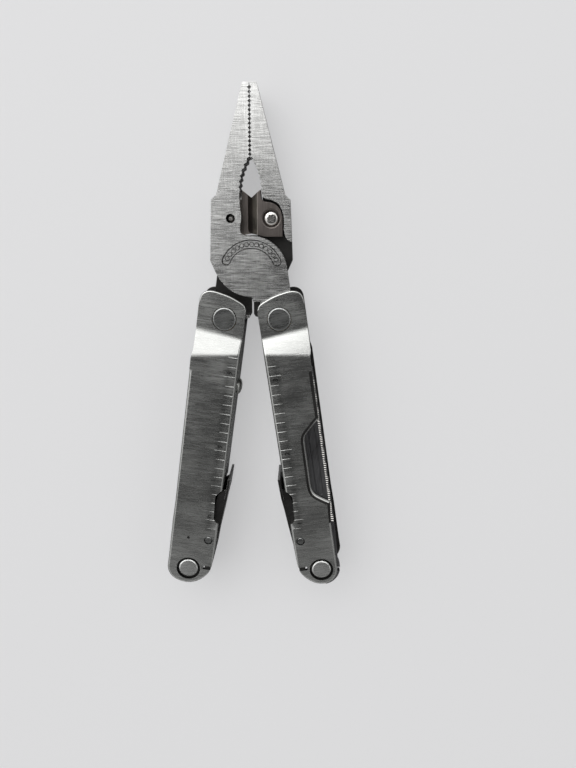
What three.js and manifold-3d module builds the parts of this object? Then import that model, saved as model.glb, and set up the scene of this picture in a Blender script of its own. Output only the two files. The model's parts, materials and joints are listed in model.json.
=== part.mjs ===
// A folding pliers multi-tool, lying on its back with its two handles open in a narrow V.
// Millimetres. X runs across the tool, Y runs up to the jaw tips, and Z rises out of the front face.
// The origin is under the middle of the tool, on the surface that it lies on.
import * as THREE from "three";
import { mergeVertices } from "three/addons/utils/BufferGeometryUtils.js";
import Module from "manifold-3d";

const wasm = await Module();
wasm.setup();

// ---------------------------------------------------------------- Driving dimensions
// The tool's own frame has its zero midway between the two handle pivots, at mid-thickness.
const PIVOT_HALF = 8.7; // from the centre line to each handle pivot
const SPLAY = 8.2; // lean of each handle, in degrees
const PLIERS_Y = 14.5; // height of the pliers pivot above the handle pivots

// Jaws
const JAW_HALF = 4.8; // half the thickness of the forged jaws
const LAP_GAP = 0.05; // from the mid-plane to each lapped face
const JAW_SPLIT = 0.15; // from the centre line to each gripping face
const TIP_Y = 69.8;
const TIP_HALF = 2.1;
const TAPER_Y = 48.5; // the nose thins from here to its tip
const TAPER_SLOPE = 0.04; // on each face
const NOSE_Y = 38;
const NOSE_HALF = 10.45;
const DISC_R = 11.2;
const TANG_CLEAR_R = 13.5; // the tang is full thickness outside this, clear of the other jaw
const TANG_R = 5;
const LAP_SIDES = 48; // facets round the clearance for the other jaw
const RIVET_R = 3.2;
const BORE_GAP = 0.25; // radial play round pins

// Wire cutter inserts, held by one screw each
const INSERT_FACE = 0.1; // from the mid-plane to the sliding face
const INSERT_TOP = 4.5;
const SCREW_SEAT = 2.8; // floor of the counterbore under a screw head
const SCREW_X = 6.25;
const SCREW_Y = 30.9;
const SCREW_HEAD_R = 2.3;
const SCREW_R = 1.1;
const SOCKET_R = 1;

// Handle shells, bent from sheet. V runs across a handle to its closed web, U runs down it.
const SHEET = 1.2;
const MAIN_HALF = 8.6;
const NECK_HALF = 6.7;
const CHEEK_REACH = 10.3; // from the pliers pin to the cheek's outer corner
const WEB_OUT = 6.5;
const NECK_EDGE = -8.55; // V of the open edge at the neck
const TALL_EDGE = -9; // V of the open edge of the wall without the nail window
const TALL_FOOT = -9.2;
const LOW_EDGE = -8.1; // and of the wall with it
const LOW_FOOT = -7.4;
const WEB_START = 0.8;
const WINDOW_START = 56.5; // the web ends here to make room for the lock lever
const TOOL_PIN_V = -1.9;
const TOOL_PIN_U = 88.1;
const LEVER_PIN_V = 3.8;
const LEVER_PIN_U = 76.5;
const STUD_U = 22.8;

// Pins and washers
const PLIERS_PIN_R = 2.6;
const PLIERS_HEAD_R = 3.75;
const TOOL_PIN_R = 2.1;
const TOOL_HEAD_R = 3.35;
const RECESS_R = 4.1;
const RECESS_DEPTH = 0.7;
const LEVER_PIN_R = 1.25;
const LEVER_HALF = 7.1; // half the width of a lock lever's pad
const HEAD_GAP = 0.15; // radial play round the pliers pin's heads and the lever pins
const SLIDE_GAP = 0.2; // radial play of what turns on a pin
const HEAD_CHAMFER = 0.2;
const PIVOT_WASHER_R = 4.7;
const TOOL_WASHER_R = 4.3;

// Folded tools, stacked on the tool pin from one wall to the other
const STACK_GAP = 0.1;
const WASHER = 0.3;
const LONG_TOOL = 2.2;
const TOOL_TANG_R = 5;

const SIDES = 20; // facets round a turned piece
const FEW_SIDES = 16; // and round a thin one

// ---------------------------------------------------------------- Solids
const turn = THREE.MathUtils.degToRad;

function solid(geometry) {
  const bare = geometry.clone();
  bare.deleteAttribute("normal");
  bare.deleteAttribute("uv");
  const merged = mergeVertices(bare, 1e-4);
  return new wasm.Manifold(
    new wasm.Mesh({
      numProp: 3,
      vertProperties: new Float32Array(merged.attributes.position.array),
      triVerts: new Uint32Array(merged.index.array),
    }),
  );
}

function geometryOf(manifold) {
  const { vertProperties, triVerts, numProp } = manifold.getMesh();
  const positions = new Float32Array((vertProperties.length / numProp) * 3);
  for (let i = 0; i < positions.length / 3; i += 1) {
    for (let k = 0; k < 3; k += 1) {
      positions[i * 3 + k] = vertProperties[i * numProp + k];
    }
  }
  const geometry = new THREE.BufferGeometry();
  geometry.setAttribute("position", new THREE.BufferAttribute(positions, 3));
  geometry.setIndex(new THREE.BufferAttribute(new Uint32Array(triVerts), 1));
  geometry.computeVertexNormals();
  return geometry;
}

function join(first, ...others) {
  return others.reduce((whole, piece) => whole.add(piece), first);
}

function cut(base, ...tools) {
  return tools.reduce((whole, tool) => whole.subtract(tool), base);
}

// Points along an arc, with both ends, angles in degrees.
function arc(x, y, radius, from, to, steps) {
  return Array.from({ length: steps + 1 }, (_, i) => {
    const angle = turn(from + ((to - from) * i) / steps);
    return [x + radius * Math.cos(angle), y + radius * Math.sin(angle)];
  });
}

// A flat plate of the given outline, from one height to another.
function plate(points, low, high) {
  const shape = new THREE.Shape(points.map(([x, y]) => new THREE.Vector2(x, y)));
  const geometry = new THREE.ExtrudeGeometry(shape, { depth: high - low, bevelEnabled: false });
  return solid(geometry.translate(0, 0, low));
}

function block(x0, x1, y0, y1, z0, z1) {
  const box = new THREE.BoxGeometry(x1 - x0, y1 - y0, z1 - z0);
  return solid(box.translate((x0 + x1) / 2, (y0 + y1) / 2, (z0 + z1) / 2));
}

function disc(radius, low, high, x = 0, y = 0, sides = SIDES) {
  const rod = new THREE.CylinderGeometry(radius, radius, high - low, sides);
  return solid(rod.rotateX(Math.PI / 2).translate(x, y, (low + high) / 2));
}

// A turned piece standing on Z, from [radius, height] points that start and end on the axis.
function turned(points, x = 0, y = 0) {
  const profile = points.map(([radius, height]) => new THREE.Vector2(radius, height));
  return solid(new THREE.LatheGeometry(profile, SIDES).rotateX(Math.PI / 2).translate(x, y, 0));
}

// A body skinned over equal rings of points, with flat ends.
function loft(rings) {
  const count = rings[0].length;
  const last = (rings.length - 1) * count;
  const faces = [];
  for (let r = 0; r < rings.length - 1; r += 1) {
    for (let i = 0; i < count; i += 1) {
      const a = r * count + i;
      const b = r * count + ((i + 1) % count);
      faces.push(a, b, b + count, a, b + count, a + count);
    }
  }
  for (let i = 1; i < count - 1; i += 1) {
    faces.push(0, i + 1, i, last, last + i, last + i + 1);
  }
  const geometry = new THREE.BufferGeometry();
  geometry.setAttribute("position", new THREE.Float32BufferAttribute(rings.flat(2), 3));
  geometry.setIndex(faces);
  return solid(geometry);
}

// ---------------------------------------------------------------- Jaws
// The front half has the left jaw and the right tang. The rear half is the same, turned about Y.
const NOSE_SIDE = [
  [-JAW_SPLIT, TIP_Y],
  [-TIP_HALF, TIP_Y],
  [-NOSE_HALF, NOSE_Y],
  [-12.1, 36.5],
];

// The gripping side from the pipe grip up to the end of the fine teeth.
const PIPE_GRIP = [
  [-3.2, 39.2],
  [-3.1, 41.2],
  [-2.8, 43.2],
  [-2.2, 45.2],
  [-1.3, 47.2],
  [-JAW_SPLIT, 48.9],
];

const TANG_STOP = [
  [0.35, 1],
  [0.9, 0.1],
  [2.2, -0.1],
  [2.5, -1.25],
  [3.8, -1.2],
];

const TANG_OUTER = [
  [13.1, 3.2],
  [11.9, 10.4],
  [11.3, 14.3],
];

// The wedge that thins the nose on one face: 1 for the front, -1 for the rear.
function noseTaper(face) {
  const end = TIP_Y + 5;
  const thinned = JAW_HALF - (end - TAPER_Y) * TAPER_SLOPE;
  const wedge = plate(
    [
      [TAPER_Y, face * JAW_HALF],
      [end, face * thinned],
      [end, face * (JAW_HALF + 2)],
      [TAPER_Y, face * (JAW_HALF + 2)],
    ],
    -NOSE_HALF,
    1,
  );
  return solid(geometryOf(wedge).rotateX(Math.PI / 2).rotateZ(Math.PI / 2));
}

function jawHalf() {
  const front = plate(
    [
      ...NOSE_SIDE,
      [-12.85, 18],
      ...arc(0.3, 19.3, 12.5, 203.6, 268, 10),
      [0.35, 6.6],
      ...TANG_STOP,
      ...arc(PIVOT_HALF, 0, TANG_R, 200, 370, 14),
      ...TANG_OUTER,
      ...arc(0, PLIERS_Y, DISC_R, 2, 97, 14),
      [-3, 26.4],
      [-3.35, 28.4],
      [-2.95, 31.4],
      [-3.45, 37.8],
      ...PIPE_GRIP,
    ],
    LAP_GAP,
    JAW_HALF,
  );
  const jawBehind = plate(
    [
      ...NOSE_SIDE,
      [-12.61, 23.9],
      [-11.3, 24.5],
      ...arc(-5.4, 31.2, 4.85, 188, 95, 5),
      [-3.7, 37.2],
      [-3.45, 38.6],
      ...PIPE_GRIP,
    ],
    -JAW_HALF,
    LAP_GAP + 1,
  );
  const tangBehind = cut(
    plate(
      [
        [0.35, 6.6],
        ...TANG_STOP,
        ...arc(PIVOT_HALF, 0, TANG_R, 200, 370, 14),
        ...TANG_OUTER,
      ],
      -JAW_HALF,
      LAP_GAP + 1,
    ),
    disc(TANG_CLEAR_R, -JAW_HALF - 1, -LAP_GAP, 0, PLIERS_Y, LAP_SIDES),
  );
  return cut(
    join(front, jawBehind, tangBehind),
    disc(RIVET_R + BORE_GAP, -JAW_HALF, JAW_HALF - 0.6, 0, PLIERS_Y),
    disc(PLIERS_PIN_R + BORE_GAP, -JAW_HALF - 1, JAW_HALF + 1, PIVOT_HALF, 0),
    disc(SCREW_R + BORE_GAP, -JAW_HALF - 1, JAW_HALF + 1, -SCREW_X, SCREW_Y, FEW_SIDES),
    noseTaper(1),
    noseTaper(-1),
  );
}

function pliersRivet() {
  return disc(RIVET_R, 0.8 - JAW_HALF, JAW_HALF - 0.8, 0, PLIERS_Y);
}

// The front insert, in the right jaw. Its edge passes over the rear one like a shear.
function cutterInsert() {
  const body = plate(
    [
      [-1.2, 27.3],
      [-0.6, 26.4],
      [2.4, 25.9],
      [4, 25.4],
      [9.8, 25.4],
      [9.8, 31.2],
      ...arc(5.2, 31.2, 4.5, 0, 88, 5),
      [3.3, 36.6],
      [3, 39.4],
      [0.1, 37.1],
      [-1.2, 38.1],
    ],
    INSERT_FACE,
    INSERT_TOP,
  );
  const bevel = plate(
    [
      [-4, 0.3],
      [-1.2, 0.3],
      [0.4, 2.5],
      [2, INSERT_TOP],
      [2, 6],
      [-4, 6],
    ],
    -45,
    -20,
  );
  return cut(
    body,
    solid(geometryOf(bevel).rotateX(Math.PI / 2)),
    disc(SCREW_R + BORE_GAP, INSERT_FACE - 1, INSERT_TOP + 1, SCREW_X, SCREW_Y, FEW_SIDES),
    disc(SCREW_HEAD_R + SLIDE_GAP, SCREW_SEAT, INSERT_TOP + 1, SCREW_X, SCREW_Y),
  );
}

function cutterScrew() {
  const end = 0.7 - JAW_HALF;
  const underHead = SCREW_SEAT + 0.15;
  const body = turned(
    [
      [0, end],
      [SCREW_R, end],
      [SCREW_R, underHead],
      [SCREW_HEAD_R, underHead],
      [SCREW_HEAD_R, 4],
      [SCREW_HEAD_R - 0.4, 4.4],
      [0, 4.4],
    ],
    SCREW_X,
    SCREW_Y,
  );
  return cut(body, disc(SOCKET_R, 3.5, 5, SCREW_X, SCREW_Y, 6));
}

// ---------------------------------------------------------------- Handles
// Each handle has its zero at its pliers pin: X is V, and Y is minus U.

// The thickness of a shell: a narrow neck, a sloping step, and the wide main length.
function thickness(neck, main, low, high) {
  const stepTop = (v) => -4 - ((v - LOW_EDGE) * 1.7) / 15;
  const stepFoot = (v) => -12.5 + ((v - LOW_EDGE) * 2.2) / 15;
  const ring = (yLow, yHigh, half) => [
    [high, yHigh, -half],
    [high, yHigh, half],
    [low, yLow, half],
    [low, yLow, -half],
  ];
  return loft([
    ring(20, 20, neck),
    ring(stepTop(low), stepTop(high), neck),
    ring(stepFoot(low), stepFoot(high), main),
    ring(-110, -110, main),
  ]);
}

// The opening in one wall, where a nail reaches the long tool beside it.
const NAIL_WINDOW = [
  [LOW_EDGE - 2, -31.5],
  [LOW_EDGE, -33.5],
  [-2.1, -39.2],
  [-2, -57.4],
  [-2.9, -59.8],
  [-5.5, -61.8],
  [LOW_EDGE, -63.5],
  [LOW_EDGE - 2, -64.7],
];

const SIDE_NOTCH = [
  [WEB_OUT + 0.2, -57.4],
  [4.3, -59.6],
  [4.9, -68.6],
  [WEB_OUT + 0.2, -70.2],
  [12, -70.2],
  [12, -57.4],
];

// One side wall, from the cheek round the pliers pin to the rounded foot.
function wall(edge, foot, low, high) {
  return plate(
    [
      [NECK_EDGE, 0],
      ...arc(0, 0, CHEEK_REACH, 146, 128, 4),
      [-3.1, 8.2],
      [0.3, 7.5],
      [3.1, 6.5],
      [5.2, 5.5],
      [6.1, 4.6],
      [WEB_OUT, 3],
      [WEB_OUT, -76],
      [5.9, -87],
      [4.6, -90],
      [2.6, -92.2],
      [0.3, -93.5],
      [-2.4, -93.9],
      [0.55 * foot - 0.5, -93.3],
      [0.85 * foot - 0.1, -91.7],
      [foot + 0.1, -89.2],
      [foot, -86],
      [foot, -71],
      [edge, -64],
      [edge, -13],
      [NECK_EDGE, -11],
    ],
    low,
    high,
  );
}

function handleShell() {
  const side = join(
    wall(TALL_EDGE, TALL_FOOT, -0.5, MAIN_HALF),
    wall(LOW_EDGE, LOW_FOOT, -MAIN_HALF, 0.5),
  );
  const inside = MAIN_HALF - SHEET;
  const insideNeck = NECK_HALF - SHEET;
  const outer = side.intersect(thickness(NECK_HALF, MAIN_HALF, -12, 10));
  const cavity = thickness(insideNeck, inside, -14, WEB_OUT - SHEET);
  const heads = [-1, 1].map((wall) => {
    const low = wall > 0 ? MAIN_HALF - RECESS_DEPTH : -MAIN_HALF - 1;
    return disc(RECESS_R, low, low + RECESS_DEPTH + 1, TOOL_PIN_V, -TOOL_PIN_U);
  });
  return cut(
    outer,
    cavity,
    block(0, 12, -WEB_START, 20, -insideNeck, insideNeck),
    block(0, 12, -110, -WINDOW_START, -inside, inside),
    plate(SIDE_NOTCH, -MAIN_HALF - 1, MAIN_HALF + 1),
    block(2.6, 12, -87.7, -86.3, -MAIN_HALF - 1, MAIN_HALF + 1),
    plate(NAIL_WINDOW, -MAIN_HALF - 1, -MAIN_HALF + SHEET + 0.4),
    disc(PLIERS_HEAD_R + HEAD_GAP, -MAIN_HALF, MAIN_HALF),
    disc(TOOL_PIN_R + SLIDE_GAP, -MAIN_HALF, MAIN_HALF, TOOL_PIN_V, -TOOL_PIN_U),
    disc(LEVER_PIN_R + HEAD_GAP, -MAIN_HALF - 1, MAIN_HALF + 1, LEVER_PIN_V, -LEVER_PIN_U, FEW_SIDES),
    ...heads,
  );
}

function studHole() {
  const rod = new THREE.CylinderGeometry(1.5, 1.5, 6, FEW_SIDES);
  return solid(rod.rotateZ(Math.PI / 2).translate(WEB_OUT, -STUD_U, 0));
}

function headedPin(radius, headRadius, headLow, headHigh, x, y) {
  return turned(
    [
      [0, -headHigh],
      [headRadius - HEAD_CHAMFER, -headHigh],
      [headRadius, HEAD_CHAMFER - headHigh],
      [headRadius, -headLow],
      [radius, -headLow],
      [radius, headLow],
      [headRadius, headLow],
      [headRadius, headHigh - HEAD_CHAMFER],
      [headRadius - HEAD_CHAMFER, headHigh],
      [0, headHigh],
    ],
    x,
    y,
  );
}

function ringWasher(inner, outer, low, high, x, y) {
  return cut(disc(outer, low, high, x, y), disc(inner, low - 1, high + 1, x, y));
}

// A domed stud in the web, which the closed handles rest on.
function stopStud() {
  const profile = [
    [0, -1],
    [1.3, -1],
    [1.3, 0.15],
    [2.7, 0.15],
    [2.3, 0.9],
    [1.3, 1.4],
    [0, 1.5],
  ];
  const lathe = new THREE.LatheGeometry(
    profile.map(([radius, height]) => new THREE.Vector2(radius, height)),
    SIDES,
  );
  return solid(lathe.rotateZ(-Math.PI / 2).translate(WEB_OUT, -STUD_U, 0));
}

// The lock lever: a bent pad, two ears on the lever pin, and the bar that drops behind a tool.
function lockLever() {
  const pad = plate(
    [
      [8.5, -53.8],
      [8, -53.8],
      [7.55, -61.4],
      [6.5, -71],
      [5.2, -83.6],
      [5.2, -86.5],
      [3.6, -86.5],
      [3.6, -87.4],
      [5.9, -87.4],
      [5.95, -83.6],
      [7.25, -71],
      [8.2, -61.4],
    ],
    -LEVER_HALF,
    LEVER_HALF,
  );
  const earWidth = 1.1;
  const ears = [-LEVER_HALF, LEVER_HALF - earWidth].map((low) =>
    plate(
      [
        [7.9, -57.2],
        [4.9, -60.2],
        [4.4, -66],
        [4, -70],
        [3, -74.5],
        [2.4, -76.5],
        [3, -78.6],
        [5.6, -81.6],
        [6.9, -71],
      ],
      low,
      low + earWidth,
    ),
  );
  const bar = block(3.6, 5.7, -87.4, -86.5, -MAIN_HALF + 0.2, MAIN_HALF - 0.2);
  return cut(
    join(pad, ...ears, bar),
    disc(LEVER_PIN_R + SLIDE_GAP, -MAIN_HALF, MAIN_HALF, LEVER_PIN_V, -LEVER_PIN_U, FEW_SIDES),
  );
}

// The leaf spring along the web, which lifts the pad of the lock lever.
function leverSpring() {
  return plate(
    [
      [4.5, -26],
      [5.1, -26],
      [5.1, -58],
      [5.9, -69.5],
      [5.3, -69.5],
      [4.5, -58],
    ],
    -5,
    5,
  );
}

// ---------------------------------------------------------------- Folded tools
// Each outline has its zero at the tool pin: X runs to the web, and Y to the tip of the folded tool.
const TANG_FOOT = arc(0, 0, TOOL_TANG_R, 150, 390, 18);

const LONG_BACK = [
  [3.6, 8],
  [3.9, 20],
  [5.1, 26],
];

const OUTLINES = {
  knife_blade: [
    ...TANG_FOOT,
    ...LONG_BACK,
    [5.1, 50],
    [4.3, 58],
    [1.8, 66],
    [-2.2, 73.6],
    [-6.1, 52],
    [-6.5, 12],
  ],
  saw: [
    ...TANG_FOOT,
    ...LONG_BACK,
    [4.6, 70],
    [1, 73.2],
    [-5.4, 73.2],
    [-6.5, 70],
    [-6.5, 12],
  ],
  metal_file: [
    ...TANG_FOOT,
    ...LONG_BACK,
    [5.1, 71],
    [4, 73.2],
    [-5.9, 73.2],
    [-6.5, 70],
    [-6.5, 12],
  ],
  serrated_knife: [
    ...TANG_FOOT,
    ...LONG_BACK,
    [5.1, 60],
    [2.6, 68],
    [-1.6, 73.4],
    [-4.6, 72],
    [-6.5, 64],
    [-6.5, 12],
  ],
  phillips_driver: [
    ...TANG_FOOT,
    [3.6, 8],
    [3.9, 20],
    [4.8, 40],
    [3.9, 43.6],
    [3.1, 43.6],
    [1.9, 39.5],
    [0.2, 26],
    [-2.6, 15],
  ],
  awl: [
    ...TANG_FOOT,
    [3.6, 8],
    [3.9, 20],
    [4.6, 26],
    [3.8, 44],
    [3.2, 44],
    [-3.4, 19],
    [-4.6, 10],
  ],
  large_screwdriver: [
    ...TANG_FOOT,
    [3.6, 8],
    [3.9, 20],
    [4.7, 21.5],
    [4.7, 26.4],
    [-2, 26.4],
    [-2.4, 22],
    [-4.3, 14],
  ],
  small_screwdriver: [
    ...TANG_FOOT,
    [3.6, 8],
    [3.9, 20],
    [4.9, 34],
    [4.9, 42.5],
    [2.3, 42.5],
    [1.2, 34],
    [-3.2, 19],
    [-4.4, 10],
  ],
  can_opener: [
    ...TANG_FOOT,
    [3.6, 8],
    [3.9, 20],
    [4.9, 28],
    [3.6, 32.5],
    [0.6, 33.6],
    [-0.1, 31.8],
    [1.4, 28.6],
    [0.2, 25.2],
    [-2.4, 23.8],
    [-3.6, 20.4],
    [-4.6, 10],
  ],
  lanyard_ring: [...TANG_FOOT, [3.4, 6], ...arc(-1.2, 10.5, 4.1, 20, 180, 10)],
};

const LANYARD_EYE = { x: -1.2, y: 10.5, radius: 2.5 };

function foldedTool(kind, low, high) {
  const place = ([x, y]) => [x + TOOL_PIN_V, y - TOOL_PIN_U];
  const body = cut(
    plate(OUTLINES[kind].map(place), low, high),
    disc(TOOL_PIN_R + BORE_GAP, low - 1, high + 1, TOOL_PIN_V, -TOOL_PIN_U),
  );
  if (kind !== "lanyard_ring") {
    return body;
  }
  const [x, y] = place([LANYARD_EYE.x, LANYARD_EYE.y]);
  return cut(body, disc(LANYARD_EYE.radius, low - 1, high + 1, x, y));
}

// From the front wall to the rear wall of each handle, in the handle's own frame.
const LEFT_STACK = [
  ["saw", LONG_TOOL],
  ["phillips_driver", 3.4],
  ["awl", 2.8],
  ["lanyard_ring", 2],
  ["knife_blade", LONG_TOOL],
];

const RIGHT_STACK = [
  ["serrated_knife", LONG_TOOL],
  ["large_screwdriver", 3],
  ["small_screwdriver", 2.6],
  ["can_opener", 2.6],
  ["metal_file", LONG_TOOL],
];

// ---------------------------------------------------------------- Materials
const STEELS = {
  jaw: { color: 0xb9b7b3, roughness: 0.34, metalness: 1 },
  handle: { color: 0x8f8f8d, roughness: 0.38, metalness: 1 },
  pin: { color: 0x77787a, roughness: 0.4, metalness: 1 },
  insert: { color: 0x4b423d, roughness: 0.45, metalness: 1 },
  screw: { color: 0xcfcac2, roughness: 0.22, metalness: 1 },
  lever: { color: 0x9b9b99, roughness: 0.35, metalness: 1 },
  spring: { color: 0x6a6a6c, roughness: 0.4, metalness: 1 },
  washer: { color: 0xb08d4f, roughness: 0.4, metalness: 1 },
  blade: { color: 0xa9aaac, roughness: 0.28, metalness: 1 },
};

function mesh(name, steel, body) {
  const piece = new THREE.Mesh(geometryOf(body), new THREE.MeshStandardMaterial(STEELS[steel]));
  piece.name = name;
  return piece;
}

// ---------------------------------------------------------------- Assembly
function jawsGroup() {
  const group = new THREE.Group();
  const behind = new THREE.Group();
  behind.rotation.y = Math.PI;
  group.add(mesh("jaw_front_half", "jaw", jawHalf()));
  group.add(mesh("pliers_rivet", "pin", pliersRivet()));
  group.add(mesh("cutter_insert_front", "insert", cutterInsert()));
  group.add(mesh("cutter_screw_front", "screw", cutterScrew()));
  behind.add(mesh("jaw_rear_half", "jaw", jawHalf()));
  behind.add(mesh("cutter_insert_rear", "insert", cutterInsert()));
  behind.add(mesh("cutter_screw_rear", "screw", cutterScrew()));
  group.add(behind);
  return group;
}

function handleGroup(side, stack) {
  const group = new THREE.Group();
  group.position.x = -PIVOT_HALF;
  group.rotation.z = -turn(SPLAY);
  const add = (name, steel, body) => group.add(mesh(side + "_" + name, steel, body));

  const shell = handleShell();
  add("handle_shell", "handle", side === "left" ? cut(shell, studHole()) : shell);
  if (side === "left") {
    add("stop_stud", "pin", stopStud());
  }
  const neckInside = NECK_HALF - SHEET;
  add(
    "pliers_pin",
    "pin",
    headedPin(PLIERS_PIN_R, PLIERS_HEAD_R, neckInside + 0.1, NECK_HALF + 0.15, 0, 0),
  );
  for (const [where, low] of [
    ["a", JAW_HALF + 0.15],
    ["b", -neckInside + 0.15],
  ]) {
    const high = low + neckInside - JAW_HALF - 0.3;
    const washer = ringWasher(PLIERS_PIN_R + SLIDE_GAP, PIVOT_WASHER_R, low, high, 0, 0);
    add("pivot_washer_" + where, "washer", washer);
  }
  const floor = MAIN_HALF - RECESS_DEPTH;
  add(
    "tool_pin",
    "pin",
    headedPin(TOOL_PIN_R, TOOL_HEAD_R, floor + 0.1, MAIN_HALF - 0.05, TOOL_PIN_V, -TOOL_PIN_U),
  );
  const end = MAIN_HALF - 0.05;
  add("lever_pin", "pin", disc(LEVER_PIN_R, -end, end, LEVER_PIN_V, -LEVER_PIN_U, FEW_SIDES));
  add("lock_lever", "lever", lockLever());
  add("lever_spring", "spring", leverSpring());

  let top = MAIN_HALF - SHEET - STACK_GAP;
  stack.forEach(([kind, width], i) => {
    add(kind, "blade", foldedTool(kind, top - width, top));
    top -= width + STACK_GAP;
    if (i < stack.length - 1) {
      const inner = TOOL_PIN_R + SLIDE_GAP;
      const washer = ringWasher(inner, TOOL_WASHER_R, top - WASHER, top, TOOL_PIN_V, -TOOL_PIN_U);
      add("tool_washer_" + (i + 1), "washer", washer);
      top -= WASHER + STACK_GAP;
    }
  });
  return group;
}

const group = new THREE.Group();
const tool = new THREE.Group();
const turnedSide = new THREE.Group();
turnedSide.rotation.y = Math.PI;
turnedSide.add(handleGroup("right", RIGHT_STACK));
tool.add(jawsGroup(), handleGroup("left", LEFT_STACK), turnedSide);
group.add(tool);

// The tool lies on the flat backs of its handles, with the origin under the middle of its box.
group.updateMatrixWorld(true);
const bounds = new THREE.Box3().setFromObject(tool, true);
const middle = bounds.getCenter(new THREE.Vector3());
tool.position.set(-middle.x, -middle.y, -bounds.min.z);

export default group;
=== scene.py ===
"""The looks of a pliers multi-tool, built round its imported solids.

Lengths are millimetres in a part's own frame. The jaws' frame has its zero midway between the
handle pivots. A handle's frame has its zero at its pliers pin, with X to the closed web and -Y
down the handle. place() turns a finished mesh into metres in the row frame.
"""
import json
import math

import bmesh
import bpy
from mathutils import Matrix, Vector


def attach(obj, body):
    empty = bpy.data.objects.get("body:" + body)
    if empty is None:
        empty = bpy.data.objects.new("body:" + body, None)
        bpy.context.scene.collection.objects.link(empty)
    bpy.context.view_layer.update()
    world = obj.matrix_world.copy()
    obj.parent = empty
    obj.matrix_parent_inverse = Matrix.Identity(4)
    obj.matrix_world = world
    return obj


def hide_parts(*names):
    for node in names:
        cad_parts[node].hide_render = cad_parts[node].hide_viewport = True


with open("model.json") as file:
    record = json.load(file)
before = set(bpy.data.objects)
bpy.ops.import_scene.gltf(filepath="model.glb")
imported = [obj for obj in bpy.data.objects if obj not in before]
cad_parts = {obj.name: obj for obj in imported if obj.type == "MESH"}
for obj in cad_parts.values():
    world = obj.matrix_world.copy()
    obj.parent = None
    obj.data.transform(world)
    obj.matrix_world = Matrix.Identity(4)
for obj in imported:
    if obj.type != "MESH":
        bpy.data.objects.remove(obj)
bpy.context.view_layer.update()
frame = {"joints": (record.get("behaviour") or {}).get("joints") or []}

MM = 0.001
SCENE = bpy.context.scene
SCENE.view_settings.view_transform = "Standard"

# ------------------------ Frames, from the record's joints
JOINTS = {joint["name"]: joint for joint in frame["joints"]}
TOOL_PIN = Vector((-1.9, -88.1, 0))
LEVER_PIN = Vector((3.8, -76.5, 0))


def joint_at(name):
    return Vector(JOINTS[name]["pos_m"]) / MM


PIVOT = joint_at("left_handle_fold")
PLIERS_Y = joint_at("jaw_open").y - PIVOT.y
# The left handle's lean, from its tool pin's place in the row and in its own frame.
FOUND = joint_at("left_saw_open") - PIVOT
LEAN = math.atan2(FOUND.y, FOUND.x) - math.atan2(TOOL_PIN.y, TOOL_PIN.x)
HALF_TURN = Matrix.Rotation(math.pi, 4, "Y")
JAWS = Matrix.Translation((0, PIVOT.y, PIVOT.z))
IN_HANDLE = Matrix.Translation((PIVOT.x, 0, 0)) @ Matrix.Rotation(LEAN, 4, "Z")
FRAMES = {
    "front": JAWS,
    "rear": JAWS @ HALF_TURN,
    "left": JAWS @ IN_HANDLE,
    "right": JAWS @ HALF_TURN @ IN_HANDLE,
}

# ------------------------ Camera
EYE = Vector((15.92, 30.47, 207.63))  # in the jaws' frame
LENS = 30
SENSOR = 36
YAW = math.radians(1.26)
PITCH = math.radians(14.38)


def make_camera():
    data = bpy.data.cameras.new("camera")
    data.sensor_fit = "VERTICAL"
    data.sensor_height = SENSOR
    data.lens = LENS
    data.clip_start = 0.01
    right = Vector((math.cos(YAW), 0, -math.sin(YAW)))
    flat = math.cos(PITCH)
    ahead = Vector((-math.sin(YAW) * flat, -math.sin(PITCH), -math.cos(YAW) * flat))
    turned = Matrix((right, right.cross(ahead), -ahead)).transposed().to_4x4()
    camera = bpy.data.objects.new("camera", data)
    SCENE.collection.objects.link(camera)
    camera.matrix_world = Matrix.Translation((JAWS @ EYE) * MM) @ turned
    SCENE.camera = camera


make_camera()


# ------------------------ Mesh tools
# Every work piece has two slots: its own steel, and a second colour, mostly the near-black steel of
# painted shade in its recesses, gaps and shadowed faces.
WORK_SLOTS = [bpy.data.materials.new(name) for name in ("work_face", "work_recess")]


def new_object(bm, name="work"):
    mesh = bpy.data.meshes.new(name)
    for slot in WORK_SLOTS:
        mesh.materials.append(slot)
    bm.to_mesh(mesh)
    bm.free()
    obj = bpy.data.objects.new(name, mesh)
    SCENE.collection.objects.link(obj)
    return obj


def arc(x, y, radius, start, end, steps):
    """Points along an arc with both ends, angles in degrees."""
    angles = [math.radians(start + (end - start) * i / steps) for i in range(steps + 1)]
    return [(x + radius * math.cos(a), y + radius * math.sin(a)) for a in angles]


def smooth(points, steps=6):
    """A curve through all the points, as a Catmull-Rom spline."""
    line = []
    for i in range(len(points) - 1):
        a, b = points[max(i - 1, 0)], points[i]
        c, d = points[i + 1], points[min(i + 2, len(points) - 1)]
        for k in range(steps):
            t = k / steps
            line.append(
                tuple(
                    0.5
                    * (
                        2 * b[n]
                        + (c[n] - a[n]) * t
                        + (2 * a[n] - 5 * b[n] + 4 * c[n] - d[n]) * t**2
                        + (3 * b[n] - a[n] - 3 * c[n] + d[n]) * t**3
                    )
                    for n in range(2)
                )
            )
    return line + [points[-1]]


def teeth(start, end, count, depth, flat=0.2):
    """Points of a row of teeth from start to end, cut to the left of that line by depth."""
    a, b = Vector(start), Vector(end)
    along = (b - a) / count
    inward = Vector((-along.y, along.x)).normalized() * depth
    points = []
    for i in range(count):
        root = a + along * i
        points += [root, root + along * flat, root + along * (0.5 + flat / 2) + inward]
    return [tuple(p) for p in points] + [tuple(b)]


def counterclockwise(points):
    twice = sum(x0 * y1 - x1 * y0 for (x0, y0), (x1, y1) in zip(points, points[1:] + points[:1]))
    return list(points) if twice > 0 else list(reversed(points))


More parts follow.
